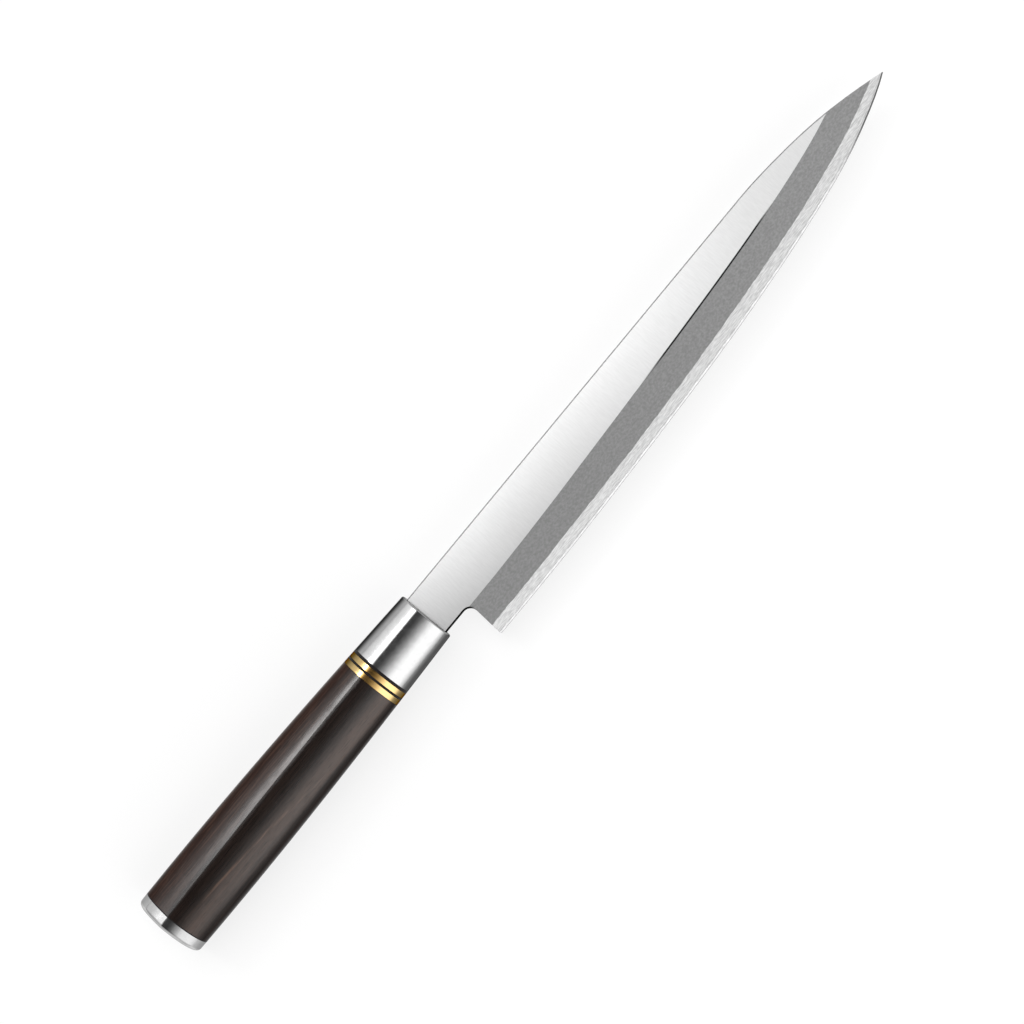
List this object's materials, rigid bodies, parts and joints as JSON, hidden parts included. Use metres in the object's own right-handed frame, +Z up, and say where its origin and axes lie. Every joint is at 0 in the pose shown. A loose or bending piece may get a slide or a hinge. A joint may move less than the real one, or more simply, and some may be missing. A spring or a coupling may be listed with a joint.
{
  "type": "yanagiba knife",
  "caption": "Long single-bevel slicing knife with a hollow back, on a D-section wood handle with a steel bolster, brass rings and a steel end cap.",
  "frame": {"origin": "under the middle of the whole knife, on the level of the handle's lowest point, with the knife on its side and its bevel up", "axes": "+X along the knife from the butt to the tip, +Y from the edge to the spine, +Z up out of the bevel face"},
  "size_m": [0.3958, 0.0384, 0.0228],
  "materials": {
    "blade_steel": "flat with fine lengthwise grinding, bevel matt with a brighter band along the edge",
    "polished_steel": "mirror polished",
    "black_fibre": "matt black, sanded flush",
    "brass": "polished",
    "dark_wood": "dark brown wood, oiled, with fine lengthwise grain",
    "resin": "cast resin, hidden",
    "plain_steel": "bright, hidden"
  },
  "bodies": {
    "root": {"blade": "blade_steel", "bolster": "polished_steel", "front_spacer": "black_fibre", "front_ring": "brass", "middle_spacer": "black_fibre", "rear_ring": "brass", "grip": "dark_wood", "cap_spacer": "black_fibre", "end_cap": "polished_steel", "tang_bedding": "resin", "tang_rod": "plain_steel", "rod_washer": "plain_steel", "rod_nut": "plain_steel"}
  },
  "joints": []
}
